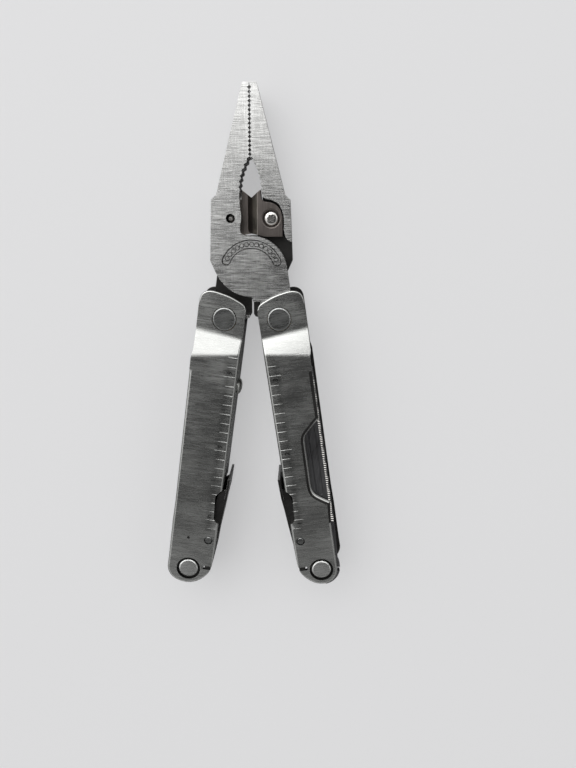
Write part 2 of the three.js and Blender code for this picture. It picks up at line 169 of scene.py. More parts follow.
def skin(rings, caps=True):
    """A body over equal rings of points."""
    bm = bmesh.new()
    rows = [[bm.verts.new(p) for p in ring] for ring in rings]
    for a, b in zip(rows, rows[1:]):
        for i in range(len(a)):
            k = (i + 1) % len(a)
            bm.faces.new((a[i], a[k], b[k], b[i]))
    if caps:
        bm.faces.new(list(reversed(rows[0])))
        bm.faces.new(rows[-1])
    bmesh.ops.recalc_face_normals(bm, faces=bm.faces)
    return new_object(bm)


def prism(points, low, high):
    ring = counterclockwise(points)
    return skin([[(x, y, z) for x, y in ring] for z in (low, high)])


def inset(points, amounts):
    """Moves each point of a counterclockwise outline inwards by its own amount."""
    moved = []
    for i, (x, y) in enumerate(points):
        here = Vector((x, y))
        before = (here - Vector(points[i - 1])).normalized()
        after = (Vector(points[(i + 1) % len(points)]) - here).normalized()
        inward = Vector((-before.y - after.y, before.x + after.x))
        reach = inward.normalized() / max(inward.length / 2, 0.5)
        moved.append(tuple(here + reach * amounts[i]))
    return moved


def rounded_plate(points, radii, inner, outer, steps=5, flare=0.0):
    """A plate from inner to outer whose outer rim is rounded, by its own radius at each point.

    With a flare it is a cutter instead: it opens towards the outer face, and rises past it.
    """
    if counterclockwise(points) != list(points):
        points, radii = list(reversed(points)), list(reversed(radii))
    outward = 1 if outer > inner else -1
    rings = [[(x, y, inner) for x, y in points]]
    sense = -1 if flare else 1
    for k in range(steps + 1):
        angle = math.pi / 2 * k / steps
        moved = inset(points, [sense * r * (1 - math.cos(angle)) for r in radii])
        drop = 1 - math.sin(angle)
        rings.append([(x, y, outer - outward * r * drop) for (x, y), r in zip(moved, radii)])
    if flare:
        rings.append([(x, y, outer + outward * flare) for x, y, _ in rings[-1]])
    return skin(rings)


def box(x0, x1, y0, y1, z0, z1):
    return prism([(x0, y0), (x1, y0), (x1, y1), (x0, y1)], z0, z1)


def rod(radius, low, high, x=0.0, y=0.0, sides=48):
    return prism(arc(x, y, radius, 0, 360 * (sides - 1) / sides, sides - 1), low, high)


def turned(profile, x=0.0, y=0.0, sides=64, caps=True):
    """A piece turned about Z from (radius, height) points, none of them on the axis."""
    rings = []
    for radius, height in profile:
        ring = arc(x, y, radius, 0, 360 * (sides - 1) / sides, sides - 1)
        rings.append([(px, py, height) for px, py in ring])
    return skin(rings, caps)


def bake(obj):
    """Replaces obj's mesh with what its modifiers make of it."""
    graph = bpy.context.evaluated_depsgraph_get()
    mesh = bpy.data.meshes.new_from_object(obj.evaluated_get(graph))
    old = obj.data
    obj.modifiers.clear()
    obj.data = mesh
    bpy.data.meshes.remove(old)


def remove(obj):
    mesh = obj.data
    bpy.data.objects.remove(obj)
    bpy.data.meshes.remove(mesh)


def combine(body, others, operation):
    for other in others:
        modifier = body.modifiers.new("combine", "BOOLEAN")
        modifier.operation = operation
        modifier.solver = "EXACT"
        modifier.material_mode = "INDEX"
        modifier.object = other
        bake(body)
        remove(other)
    return body


def cut(body, *others):
    return combine(body, others, "DIFFERENCE")


def dark(cutter):
    """Marks a cutter whose cut takes the piece's second colour: mostly near-black painted shade, also
    the near-black of the rule's digits, and on the file the bright screw steel of a painted highlight.
    """
    for face in cutter.data.polygons:
        face.material_index = 1
    return cutter


def darken(obj, where):
    """Gives the piece's second colour to the faces that where(centre, normal) picks: mostly near-black
    painted shade, and on a cutter insert its lighter ground edge.
    """
    for face in obj.data.polygons:
        if where(face.center, face.normal):
            face.material_index = 1
    return obj


def join(body, *others):
    return combine(body, others, "UNION")


def common(body, *others):
    return combine(body, others, "INTERSECT")


def soften(obj, width, segments=2, limit=30, where=None):
    """Rounds the sharp edges, or those that where(edge) picks."""
    bm = bmesh.new()
    bm.from_mesh(obj.data)
    bmesh.ops.remove_doubles(bm, verts=bm.verts, dist=0.002)
    bmesh.ops.dissolve_limit(bm, angle_limit=math.radians(0.3), verts=bm.verts, edges=bm.edges)
    sharp = [
        e
        for e in bm.edges
        if len(e.link_faces) == 2
        and math.degrees(e.calc_face_angle(0)) > limit
        and (where is None or where(e))
    ]
    bmesh.ops.bevel(
        bm,
        geom=sharp,
        offset=width,
        segments=segments,
        profile=0.5,
        affect="EDGES",
        clamp_overlap=True,
    )
    bm.to_mesh(obj.data)
    bm.free()
    return obj


def middle(edge):
    return (edge.verts[0].co + edge.verts[1].co) / 2


def place(obj, name, where, body, material, slot, *nodes, second=None, crisp=32):
    """Gives a finished work piece its name, its place in the row, its body and its materials.

    Edges bent by more than crisp degrees stay sharp.
    """
    obj.name = name
    obj.data.transform(Matrix.Scale(MM, 4) @ FRAMES[where])
    obj.data.shade_smooth()
    obj.data.set_sharp_from_angle(angle=math.radians(crisp))
    modifier = obj.modifiers.new("normals", "WEIGHTED_NORMAL")
    modifier.keep_sharp = True
    bake(obj)
    obj.data.name = name
    obj.data.materials[0] = material
    # Unless the piece brings its own second colour, the second slot is near-black painted shade.
    obj.data.materials[1] = second or STEEL["recess"]
    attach(obj, body)
    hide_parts(*nodes)


# ------------------------ Steel
UPRIGHT = 0.45  # a face stands upright below this share of Z in its normal


class Graph:
    """A node tree, with short ways to add nodes to it."""

    def __init__(self, owner):
        owner.use_nodes = True
        self.nodes = owner.node_tree.nodes
        self.links = owner.node_tree.links

    def add(self, kind, inputs=None, **settings):
        """A new node. Each input is a constant, or another node's output to wire to it."""
        node = self.nodes.new("ShaderNode" + kind)
        for key, value in settings.items():
            setattr(node, key, value)
        for key, value in (inputs or {}).items():
            if isinstance(value, bpy.types.NodeSocket):
                self.links.new(value, node.inputs[key])
            else:
                node.inputs[key].default_value = value
        return node

    def maths(self, kind, a, b=0.0):
        return self.add("Math", {0: a, 1: b}, operation=kind).outputs[0]

    def ranged(self, value, low, high, start=0.3, end=0.7, easing="LINEAR"):
        """Value's span from start to end, spread from low to high."""
        inputs = {"Value": value, "From Min": start, "From Max": end, "To Min": low, "To Max": high}
        return self.add("MapRange", inputs, interpolation_type=easing).outputs["Result"]

    def parts(self, vector):
        return self.add("SeparateXYZ", {"Vector": vector}).outputs


def along_sides(graph, coords, turn):
    """The turned coordinates, with X and Y swapped where a face stands upright."""
    parts = graph.parts(turn)
    swapped = graph.add("CombineXYZ", {"X": parts["Y"], "Y": parts["X"], "Z": parts["Z"]})
    tilt = graph.maths("ABSOLUTE", graph.parts(coords.outputs["Normal"])["Z"])
    upright = graph.maths("LESS_THAN", tilt, UPRIGHT)
    inputs = {"Factor": upright, "A": turn, "B": swapped.outputs["Vector"]}
    return graph.add("Mix", inputs, data_type="VECTOR").outputs["Result"]


def band_shade(graph, turn, band):
    """A darker strip: 1 outside it, and BAND_SHADE along its middle."""
    centre, half_width, half_length = band
    parts = graph.parts(turn)

    def beyond(axis, middle_at, reach):
        """How far a point lies past reach on either side of the band's middle."""
        distance = graph.maths("ABSOLUTE", graph.maths("SUBTRACT", parts[axis], middle_at))
        return graph.ranged(distance, 0, 1, reach, reach + half_width)

    away = graph.maths("MAXIMUM", beyond("X", centre.x, 0), beyond("Y", centre.y, half_length))
    return graph.ranged(away, BAND_SHADE, 1, 0, 1)


def brushed_steel(
    name,
    tint,
    roughness,
    grain=0.0,
    streaks=0.16,
    bump=0.25,
    stain=0.08,
    cross=0.0,
    lengthways=170,
    crossways=5600,
    band=None,
):
    """Brushed steel with lines at grain degrees from X: streaks, fine hairs, stains and scratches.

    A band is a darker strip that runs across the lines: its middle once the piece is turned by the
    grain, its half width and its half length.
    """
    material = bpy.data.materials.new(name)
    graph = Graph(material)
    shader = graph.nodes["Principled BSDF"]
    shader.inputs["Metallic"].default_value = 1

    coords = graph.add("TexCoord")
    inputs = {"Vector": coords.outputs["Object"], "Rotation": (0, 0, -math.radians(grain))}
    turn = graph.add("Mapping", inputs).outputs["Vector"]
    grained = along_sides(graph, coords, turn)

    def noise(along, across, detail, rough=0.55):
        scale = (along, across, max(along, across))
        stretched = graph.add("Mapping", {"Vector": grained, "Scale": scale}).outputs["Vector"]
        inputs = {"Vector": stretched, "Scale": 1, "Detail": detail, "Roughness": rough}
        return graph.add("TexNoise", inputs).outputs["Fac"]

    lines = noise(lengthways, crossways, 3)
    hair = noise(420, 9000, 2)
    patches = noise(70, 110, 3)
    scratch = noise(110, 7000, 1, 0.3)

    shades = [
        graph.ranged(lines, 1 - streaks, 1 + streaks),
        graph.ranged(hair, 0.92, 1.08),
        graph.ranged(patches, 1 - stain, 1 + stain),
    ]
    if cross:
        shades.append(graph.ranged(noise(3400, 200, 3), 1 - cross, 1 + cross))
    if band:
        shades.append(band_shade(graph, turn, band))
    shade = shades[0]
    for factor in shades[1:]:
        shade = graph.maths("MULTIPLY", shade, factor)
    grey = graph.add("CombineColor", {"Red": shade, "Green": shade, "Blue": shade}).outputs["Color"]
    inputs = {"Factor": 1, "A": (*tint, 1), "B": grey}
    colour = graph.add("Mix", inputs, data_type="RGBA", blend_type="MULTIPLY")
    graph.links.new(colour.outputs["Result"], shader.inputs["Base Color"])

    coarse = graph.ranged(lines, roughness - 0.06, roughness + 0.06)
    rough = graph.maths("ADD", coarse, graph.ranged(patches, -0.04, 0.05))
    graph.links.new(rough, shader.inputs["Roughness"])

    height = graph.maths("ADD", graph.ranged(lines, 0, 0.6), graph.ranged(hair, 0, 0.4))
    height = graph.maths("ADD", height, graph.ranged(scratch, 0.3, 0, 0.68, 0.74))
    relief = graph.add("Bump", {"Strength": bump, "Distance": 0.00004, "Height": height})
    graph.links.new(relief.outputs["Normal"], shader.inputs["Normal"])
    return material


BAND = Vector((3.3, -43, 0))  # the middle of the darker band beside the rule
BAND_HALF_WIDTH = 1.7
BAND_HALF_LENGTH = 29
BAND_SHADE = 0.66


def handle_steel(side):
    """A handle's steel, darker along a band beside its rule."""
    sense = 1 if side == "left" else -1
    centre = Matrix.Rotation(-LEAN * sense, 4, "Z") @ FRAMES[side] @ BAND
    band = (centre * MM, BAND_HALF_WIDTH * MM, BAND_HALF_LENGTH * MM)
    grain = math.degrees(LEAN) * sense
    name = side + "_handle_steel"
    return brushed_steel(name, (0.55, 0.555, 0.54), 0.25, grain, 0.12, 0.2, band=band)


STEEL = {
    "jaw": brushed_steel("jaw_steel", (0.60, 0.60, 0.59), 0.25, 0, 0.3, 0.4, 0.06, 0.14, 230, 3900),
    "left": handle_steel("left"),
    "right": handle_steel("right"),
    # Near-black steel for painted shade in recesses, gaps and shadowed faces; the rule's digits are cut
    # in it too.
    "recess": brushed_steel("painted_shade_and_digit_steel", (0.042, 0.041, 0.04), 0.5, 20, 0.2, 0.3, 0.25),
    "pliers_pin": brushed_steel("pliers_pin_steel", (0.30, 0.305, 0.30), 0.25, 10, 0.12, 0.2),
    "tool_pin": brushed_steel("tool_pin_steel", (0.66, 0.665, 0.65), 0.27, 10, 0.12, 0.2),
    "oxide": brushed_steel("oxide_steel", (0.165, 0.147, 0.137), 0.36, 90, 0.15, 0.3, 0.15),
    "ground": brushed_steel("ground_edge_steel", (0.36, 0.34, 0.31), 0.32, 90),
    # Also painted on the file's teeth as a highlight.
    "screw": brushed_steel("screw_steel", (0.75, 0.73, 0.70), 0.17, 30, 0.05, 0.1),
    "lever": brushed_steel("lever_steel", (0.46, 0.46, 0.455), 0.3, 0),
    "spring": brushed_steel("spring_steel", (0.2, 0.2, 0.2), 0.38, 90),
    "bronze": brushed_steel("washer_bronze", (0.50, 0.36, 0.18), 0.38, 20),
    "file": brushed_steel("file_steel", (0.17, 0.17, 0.175), 0.34, 80, 0.15, 0.3),
    "blade": brushed_steel("blade_steel", (0.50, 0.505, 0.51), 0.28, 90),
}


# ------------------------ Jaws
JAW_HALF = 4.8
LAP = 0.05  # from the mid-plane to each half's lapped face
SPLIT = 0.09  # from the centre line to each gripping face
TIP_Y = 69.8
NOSE_START = 48.5  # the nose thins from here to its tip
NOSE_SLOPE = 0.04


def gripping_edge():
    """The left jaw's meeting side from the cutter up: coarse pipe teeth, fine teeth, wire notch."""
    top_of_grip = 48.9
    low = 39.2

    def grip(y):
        share = (y - 39.5) / (top_of_grip - 39.5)
        return (-SPLIT - 3.1 * (1 - share**2), y)

    coarse = []
    count = 6
    for i in range(count):
        a = grip(low + (top_of_grip - low) * i / count)
        b = grip(low + (top_of_grip - low) * (i + 1) / count)
        coarse += teeth(a, b, 1, 0.5, 0.15)[:-1]
    fine = teeth((-SPLIT, top_of_grip), (-SPLIT, 67.6), 15, 0.48, 0.12)
    notch = arc(-SPLIT, 68.3, 0.45, 270, 90, 8)
    return coarse + fine + notch[1:-1] + [(-SPLIT, 68.9), (-SPLIT, TIP_Y)]


NOSE = [(-2.1, TIP_Y), (-10.45, 38), (-12.1, 36.5)]
TANG_STOP = [(0.35, 1), (0.9, 0.1), (2.2, -0.1), (2.5, -1.25), (3.8, -1.2)]
HANDLE_X = 8.7
LOBE = arc(HANDLE_X, 0, 5, 200, 370, 36)
TANG_OUTER = smooth([(13.1, 3.2), (11.9, 10.4), (11.3, 14.3)], 6)[1:-1]
CUTTER_SCREW = (6.25, 30.9)
DISC_R = 11.2
TANG_CLEAR_R = 13.5  # the tang is full thickness outside this, clear of the other jaw
RIVET_BORE_R = 3.45
HANDLE_BORE_R = 2.85
SCREW_HOLE_R = 1.4  # where the other insert's screw ends


def nose_taper(outward):
    """The wedge cut from one face of the nose, which thins to the tip."""
    section = [(NOSE_START, JAW_HALF), (NOSE_START, JAW_HALF + 2), (TIP_Y + 5, JAW_HALF + 2)]
    section.append((TIP_Y + 5, JAW_HALF - (TIP_Y + 5 - NOSE_START) * NOSE_SLOPE))
    return skin([[(x, y, z * outward) for y, z in section] for x in (-13, 3)])


def jaw_half(which):
    edge = gripping_edge()
    cutter_side = [(-1.9, 25.8), (-3.1, 26.5), (-3.4, 28.3), (-2.95, 31.2), (-3.3, 34.4), (-3.45, 38)]
    front = prism(
        NOSE
        + [(-12.85, 18)]
        + arc(0.3, 19.3, 12.5, 203.6, 268, 40)
        + [(0.35, 6.6)]
        + TANG_STOP
        + LOBE
        + TANG_OUTER
        + arc(0, PLIERS_Y, DISC_R, 2, 96, 50)
        + smooth(cutter_side, 6)
        + edge,
        LAP,
        JAW_HALF,
    )
    pocket = [(-12.61, 23.9), (-11.1, 24.7), (-10.25, 27), (-10.1, 31.6), (-8.8, 34.9)]
    pocket = smooth(pocket + [(-6.6, 36.3), (-4.5, 36.7)], 7)
    behind = prism(NOSE + pocket + [(-3.7, 37.4), (-3.45, 38.6)] + edge, -JAW_HALF, LAP + 1)
    tang = cut(
        prism([(0.35, 6.6)] + TANG_STOP + LOBE + TANG_OUTER, -JAW_HALF, LAP + 1),
        rod(TANG_CLEAR_R, -JAW_HALF - 1, -LAP, 0, PLIERS_Y, 96),
    )
    body = join(front, behind, tang)
    body = cut(
        body,
        rod(RIVET_BORE_R, -JAW_HALF, JAW_HALF - 0.6, 0, PLIERS_Y),
        rod(HANDLE_BORE_R, -JAW_HALF - 1, JAW_HALF + 1, HANDLE_X, 0),
        # The other insert's screw hole and the cut by the tang stop are painted near-black, as shade.
        dark(rod(SCREW_HOLE_R, -JAW_HALF - 1, JAW_HALF + 1, -CUTTER_SCREW[0], CUTTER_SCREW[1])),
        dark(box(0, 2.7, -3, 5.3, 1.2, JAW_HALF + 1)),
        *[nose_taper(outward) for outward in (-1, 1)],
    )

    def rim(e):
        at = middle(e)
        return not (abs(at.x) < 3.9 and at.y > 37.5) and not abs(at.z - LAP) < 0.02

    soften(body, 0.3, 3, 25, rim)
    cut(body, badge_recess())
    # Painted shade: the lapped faces between the two halves are painted near-black.
    darken(body, lambda at, normal: abs(at.z) < 0.2 and abs(normal.z) > 0.9)
    name = f"{which}_jaw"
    place(body, name + "_forging", which, name, STEEL["jaw"], "jaw_steel", f"jaw_{which}_half")


def badge_recess():
    """A plain curved recess over the pliers pivot, with a row of raised pips left standing in it."""
    start, end = 22, 156
    outer, inner = 9.9, 7.4
    mid = (outer + inner) / 2

    def centre(degrees):
        """The point of the recess's middle line at this angle."""
        angle = math.radians(degrees)
        return mid * math.cos(angle), PLIERS_Y + mid * math.sin(angle)

    half = (outer - inner) / 2
    ring = arc(0, PLIERS_Y, outer, start, end, 48)
    ring += arc(*centre(end), half, end, end + 180, 12)[1:-1]
    ring += arc(0, PLIERS_Y, inner, end, start, 48)
    ring += arc(*centre(start), half, start + 180, start + 360, 12)[1:-1]
    ring = counterclockwise(ring)
    rings = []
    for moved, z in ((0.15, -0.35), (-0.15, 0), (-0.15, 1)):
        rings.append([(x, y, JAW_HALF + z) for x, y in inset(ring, [moved] * len(ring))])
    recess = skin(rings)
    count = 13
    profile = [(r, JAW_HALF + z) for r, z in ((0.76, -0.6), (0.76, -0.35), (0.55, 0), (0.55, 2))]
    pips = []
    for i in range(count):
        pips.append(turned(profile, *centre(start + (end - start) * (i + 0.5) / count), 20))
    # The recess's walls are painted near-black, as shade.
    return darken(cut(recess, *pips), lambda at, normal: abs(normal.z) < 0.85)


for half_name in ("front", "rear"):
    jaw_half(half_name)

# ------------------------ Handle shells
SHEET = 1.2
MAIN_HALF = 8.6  # Z of the main walls' outer faces, and then of the neck's
NECK_HALF = 6.7
WEB_OUT = 6.5  # X of the web's outer face
NECK_EDGE = -8.55  # X of the open edges: at the neck, then of the wall at +Z and its foot
TALL_EDGE = -9.0
TALL_FOOT = -9.2
LOW_EDGE = -8.1  # and of the wall at -Z, which has the nail window
LOW_FOOT = -7.4
WINDOW_START = 56.5  # the web is open from here down, for the lock lever
STUD_Y = -22.8
STUD_R = 1.5
LEVER_BORE_R = 1.45
TOOL_BORE_R = 2.25
PUNCH_DOT = (-3.1, -76.4)
PLIERS_HEAD_R = 3.75
RECESS_R = 4.1  # the recess round a tool pin's head
RECESS_DEPTH = 1.05
EASE = 0.12  # how far the sloping step's corners are rounded, as a share of it
RIM = 0.85  # radii of rounded edges
CHEEK_RIM = 0.4
CORNER = 0.9
WINDOW_RIM = 1.5
ROLLED_RIM = 1.35  # the open edge of the wall at -Z


def step_line(x, share):
    """Y of the sloping step at x, from share 0 at its top to share 1 at its foot."""
    top = -4 - (x - LOW_EDGE) * 1.7 / 15
    foot = -12.5 + (x - LOW_EDGE) * 2.2 / 15
    return top + (foot - top) * share


def eased(share):
    """A ramp from 0 to 1 with both of its corners rounded."""
    if share < EASE:
        return (share + EASE) ** 2 / (4 * EASE)
    if share > 1 - EASE:
        return 1 - (1 + EASE - share) ** 2 / (4 * EASE)
    return share


def channel(neck, main, high, neck_radius, main_radius):
    """A bar along the handle, narrow at the neck and wide below, rounded on its web side."""
    steps = 6
    shares = [-EASE + 2 * EASE * i / steps for i in range(steps + 1)]
    shares += [1 - EASE + 2 * EASE * i / steps for i in range(steps + 1)]
    stations = [(None, 20, 0.0)]
    stations += [(share, None, eased(share)) for share in shares]
    stations += [(None, -110, 1.0)]
    rings = []
    for share, fixed, grown in stations:
        half = neck + (main - neck) * grown
        radius = neck_radius + (main_radius - neck_radius) * grown
        section = [(-14, -half)]
        section += arc(high - radius, -half + radius, radius, -90, 0, 6)
        section += arc(high - radius, half - radius, radius, 0, 90, 6)
        section += [(-14, half)]
        rings.append([(x, step_line(x, share) if fixed is None else fixed, z) for x, z in section])
    return skin(rings)


def rim_radius(at, rolled):
    """How broadly a wall's outer rim is rounded: on its open side and foot, and not on its web."""
    x, y = at
    if y > -17.4:
        return 0.0
    if y > -85:
        return 0.0 if x > 0 else rolled if y > -70 else RIM
    return RIM if x < 3.5 else max(0.0, RIM * (6.4 - x) / 2.9)


CHEEK = [(-8.5, 5.4), (-8.05, 6.75), (-7.1, 7.75), (-5.8, 8.25), (-4.6, 8.32), (-3.1, 8.2)]
CHEEK += [(0.3, 7.5), (3.1, 6.5), (5.2, 5.5), (6.1, 4.6), (6.5, 3.2)]


def main_wall(edge, foot, inner, outer):
    """One side wall below the sloping step, with its rounded foot."""
    toe = [(6.28, -82), (5.9, -87), (4.6, -90), (2.6, -92.2), (0.3, -93.5), (-2.4, -93.9)]
    toe += [(0.55 * foot - 0.5, -93.3), (0.85 * foot - 0.1, -91.7), (foot + 0.05, -89.2), (foot, -86)]
    outline = [(NECK_EDGE, -3), (WEB_OUT + 0.5, -3), (WEB_OUT + 0.5, -76), (6.5, -78)]
    outline += smooth(toe, 5) + [(foot, -71), (edge, -64), (edge, -17.6), (edge, -17.2)]
    outline += [(edge, -13), (NECK_EDGE, -11)]
    rolled = ROLLED_RIM if outer < 0 else RIM
    wall = rounded_plate(outline, [rim_radius(p, rolled) for p in outline], inner, outer, 8)

    # Painted shade: on the wall at -Z the rounded faces of the rolled open edge are painted near-black.
    def shaded_rolled_rim(at, normal):
        return at.x < foot + 2 and -70 < at.y < -17.4 and 0.45 < abs(normal.z) < 0.995

    return darken(wall, shaded_rolled_rim) if outer < 0 else wall


def neck_wall(inner, outer):
    """The cheek round the pliers pin, its top rim rounded."""
    outline = [(NECK_EDGE, -10.5), (NECK_EDGE, 3.5)] + smooth(CHEEK, 5) + [(WEB_OUT, -10.5)]
    radii = [CHEEK_RIM if y > 4 else 0.0 for _, y in outline]
    return rounded_plate(outline, radii, inner, outer, 4)


NAIL_WINDOW = [(LOW_EDGE - 0.4, -33.6)] + smooth([(-3.8, -38.4), (-3.0, -39.5), (-2.7, -41.0)], 4)
NAIL_WINDOW += smooth(
    [(-2.6, -56.2), (-2.8, -58.3), (-3.6, -60), (-5.6, -61.6), (LOW_EDGE - 0.4, -63.5)], 4
)
SIDE_NOTCH = [(WEB_OUT + 0.4, -57), (5.6, -58.2), (4.5, -59.5), (4.3, -60.2), (4.7, -68.3)]
SIDE_NOTCH += [(5.3, -69.2), (WEB_OUT + 0.4, -70.3), (12, -70.3), (12, -57)]
FOOT_SLOT = [(2.6, -86.35), (12, -86.35), (12, -87.65), (2.9, -87.65), (2.6, -87.4)]


def window_cutter():
    """The nail window's cutter. The rolled lip is painted dark as shade, except a line along its middle
    that keeps the handle's steel to catch the light.
    """
    outline = [(LOW_EDGE - 3, -63.5), (LOW_EDGE - 3, -33.6)] + NAIL_WINDOW
    radii = [WINDOW_RIM] * len(outline)
    cutter = rounded_plate(outline, radii, 0.4 - MAIN_HALF + SHEET, -MAIN_HALF, 8, 1.0)
    return darken(cutter, lambda at, normal: 0.02 < abs(normal.z) < 0.35 or abs(normal.z) > 0.8)


INCH = 25.4
MARK = INCH / 8
RULE_END = 5.9


def groove(x0, x1, y, z, outward):
    """A V groove across a wall's face, cut along X."""
    half = 0.09
    depth = 0.055
    lift = 0.3
    spread = half * (1 + lift / depth)
    top = z + outward * lift
    section = [(y, z - outward * depth), (y + spread, top), (y - spread, top)]
    return skin([[(x, a, b) for a, b in section] for x in (x0, x1)])


def rule_marks(side, first, last, inches):
    """The grooves of the inch rule along the web, as one cutter."""
    outward = 1 if side == "left" else -1
    z = MAIN_HALF * outward
    bm = bmesh.new()
    count = round((last - first) / MARK)
    for i in range(count + 1):
        u = first + MARK * i
        steps = round((u - inches[0]) / MARK)
        length = 3.9 if steps % 8 == 0 else (3.5 if steps % 4 == 0 else 2.9)
        mark = groove(RULE_END - length, RULE_END, -u, z, outward)
        bm.from_mesh(mark.data)
        remove(mark)
    return new_object(bm)


OPEN_FOUR = [(-0.55, 0.75), (-0.55, -0.3), (0.2, -0.3), (0.2, -0.75), (0.45, -0.75)]
OPEN_FOUR += [(0.45, 0.75), (0.2, 0.75), (0.2, -0.05), (-0.3, -0.05), (-0.3, 0.75)]


def glyph(text):
    if text == "4":
        return prism(OPEN_FOUR, -0.3, 0.3)
    curve = bpy.data.curves.new("digit", "FONT")
    curve.body = text
    curve.size = 2.1
    curve.align_x = "CENTER"
    curve.align_y = "CENTER"
    curve.extrude = 0.3
    curve.offset = 0.045
    curve.resolution_u = 3
    written = bpy.data.objects.new("digit", curve)
    SCENE.collection.objects.link(written)
    bm = bmesh.new()
    bm.from_mesh(bpy.data.meshes.new_from_object(written))
    bmesh.ops.remove_doubles(bm, verts=bm.verts, dist=0.0005)
    bpy.data.objects.remove(written)
    bpy.data.curves.remove(curve)
    return new_object(bm)


def digit(text, side, x, y):
    """One number of the rule, as a cutter that stands in the handle's frame."""
    outward = 1 if side == "left" else -1
    cutter = glyph(text)
    quarter = Matrix.Rotation(-math.pi / 2 * outward, 4, "Z")
    facing = quarter if side == "left" else HALF_TURN @ quarter
    depth = 0.2
    spot = Matrix.Translation((x, y, outward * (MAIN_HALF + 0.3 - depth)))
    cutter.data.transform(spot @ facing)
    return cutter


RULES = {
    "left": {"first": 11.6, "inches": (17.95, 43.35, 68.75), "digits": "654", "beside": 1.3},
    "right": {"first": 14.35, "inches": (17.52, 42.92, 68.32), "digits": "321", "beside": -1.4},
}


def handle_shell(side):
    body = join(
        main_wall(TALL_EDGE, TALL_FOOT, -0.5, MAIN_HALF),
        main_wall(LOW_EDGE, LOW_FOOT, 0.5, -MAIN_HALF),
    )
    common(body, channel(NECK_HALF, MAIN_HALF + 0.001, WEB_OUT, 0.45, CORNER))
    join(body, neck_wall(-0.5, NECK_HALF), neck_wall(0.5, -NECK_HALF))
    inside = MAIN_HALF - SHEET
    inside_neck = NECK_HALF - SHEET
    cut(
        body,
        # The inside of the channel, the punch dot and the bores round the pliers pin's head and the
        # lever pin are painted near-black, as shade.
        dark(channel(inside_neck, inside, WEB_OUT - SHEET, 0.3, 0.6)),
        box(0, 12, -0.8, 20, -inside_neck, inside_neck),
        box(0, 12, -110, -WINDOW_START, -inside + 0.4, inside - 0.4),
        prism(SIDE_NOTCH, -MAIN_HALF - 1, MAIN_HALF + 1),
        prism(FOOT_SLOT, -MAIN_HALF - 1, MAIN_HALF + 1),
        window_cutter(),
        dark(rod(0.5, MAIN_HALF - 0.25, MAIN_HALF + 1, *PUNCH_DOT, 16)),
        dark(rod(PLIERS_HEAD_R + 0.15, -MAIN_HALF, MAIN_HALF, sides=72)),
        dark(rod(LEVER_BORE_R, -MAIN_HALF - 1, MAIN_HALF + 1, *LEVER_PIN.xy, 32)),
        rod(TOOL_BORE_R, -MAIN_HALF - 1, MAIN_HALF + 1, *TOOL_PIN.xy, 48),
    )
    if side == "left":
        stud = rod(STUD_R, 0, 6, sides=32)
        stud.data.transform(Matrix.Translation((3, STUD_Y, 0)) @ Matrix.Rotation(math.pi / 2, 4, "Y"))
        cut(body, stud)
    for outward in (-1, 1):
        low = MAIN_HALF - RECESS_DEPTH if outward > 0 else -MAIN_HALF - 1
        # The recess round each tool pin's head is painted near-black, as shade.
        cut(body, dark(rod(RECESS_R, low, low + RECESS_DEPTH + 1, *TOOL_PIN.xy, 72)))
    soften(body, 0.14, 2, 50)
    rule = RULES[side]
    last = rule["inches"][2] + MARK
    cut(body, rule_marks(side, rule["first"], last, rule["inches"]))
    for text, u, x in zip(rule["digits"], rule["inches"], (3.9, 3.7, 3.0)):
        cut(body, dark(digit(text, side, x, -(u - rule["beside"]))))
    name = side + "_handle"
    place(body, side + "_channel_handle", side, name, STEEL[side], "handle_steel", name + "_shell")


for side_name in ("left", "right"):
    handle_shell(side_name)


# ------------------------ Pins, rivet, screws and washers
PLIERS_PIN_R = 2.6
TOOL_PIN_R = 2.1
TOOL_HEAD_R = 3.35
PIVOT_WASHER = (2.8, 4.7)  # inner and outer radius
TOOL_WASHER = (2.3, 4.3)
WASHER_LOW, WASHER_HIGH = 4.95, 5.35  # faces of a pivot washer


def knurled(radius, depth, count, z, x, y):
    """One ring of a knurled rim, with four points to a ridge."""
    sides = count * 4
    ring = []
    for i in range(sides):
        angle = 2 * math.pi * i / sides
        r = radius - depth * (0.5 - 0.5 * math.cos(angle * count))
        ring.append((x + r * math.cos(angle), y + r * math.sin(angle), z))
    return ring


def headed_pin(side, which, at, shank, head, head_low, head_high, knurl):
    """A pin with a flat head at both ends, its rim knurled."""
    x, y = at
    count = 44

    def circle(radius, z):
        return knurled(radius, 0, count, z, x, y)

    def end(outward):
        top = head_high * outward
        rings = [circle(shank, head_low * outward), circle(head, head_low * outward)]
        rings.append(knurled(head, knurl, count, (head_high - 0.32) * outward, x, y))
        rings.append(knurled(head - 0.05, knurl, count, (head_high - 0.16) * outward, x, y))
        rings.append(knurled(head - 0.44, knurl * 0.2, count, top, x, y))
        rings.append(circle(head * 0.45, top))
        return rings

    rings = list(reversed(end(-1))) + end(1)
    body = skin(rings)
    name = f"{side}_{which}"
    place(body, name + "_with_heads", side, side + "_handle", STEEL[which], "pin_steel", name, crisp=12)


def washer(side, name, radii, low, high, at):
    inner, outer = radii
    chamfer = 0.06
    profile = [
        (outer - chamfer, low),
        (outer, low + chamfer),
        (outer, high - chamfer),
        (outer - chamfer, high),
        (inner + chamfer, high),
        (inner, high - chamfer),
        (inner, low + chamfer),
        (inner + chamfer, low),
    ]
    body = turned(profile + profile[:1], *at, caps=False)
    bm = bmesh.new()
    bm.from_mesh(body.data)
    bmesh.ops.remove_doubles(bm, verts=bm.verts, dist=0.0001)
    bm.to_mesh(body.data)
    bm.free()
    steel = STEEL["bronze"]
    place(body, name + "_turned", side, side + "_handle", steel, "washer_bronze", name)


